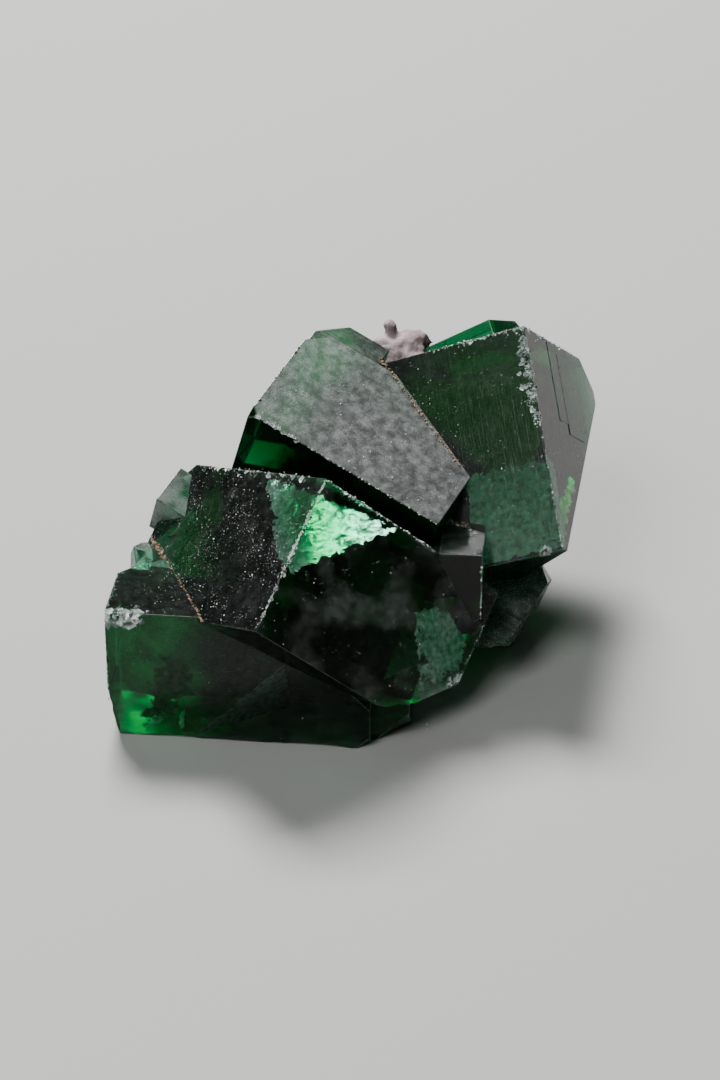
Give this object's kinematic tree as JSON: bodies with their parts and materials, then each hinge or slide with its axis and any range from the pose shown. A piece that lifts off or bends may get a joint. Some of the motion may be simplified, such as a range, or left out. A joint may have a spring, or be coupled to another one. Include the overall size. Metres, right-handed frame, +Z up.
{
  "type": "fluorite cluster",
  "caption": "Green fluorite cluster: intergrown and twinned cubic crystals, with a remnant of their pinkish rock behind, that lies on its broken base.",
  "frame": {"origin": "middle of the specimen's bounding box, on the plane it lies on", "axes": "+X to the right in the front view, +Y towards the back, where the rock is, +Z up"},
  "size_m": [0.036, 0.0346, 0.0242],
  "materials": {
    "fluorite": "deep emerald green, clear inside, frosted on some crystal faces",
    "rock": "pinkish white granular rock, dull"
  },
  "bodies": {
    "root": {"fluorite_crystals": "fluorite", "matrix_rock": "rock"}
  },
  "joints": []
}
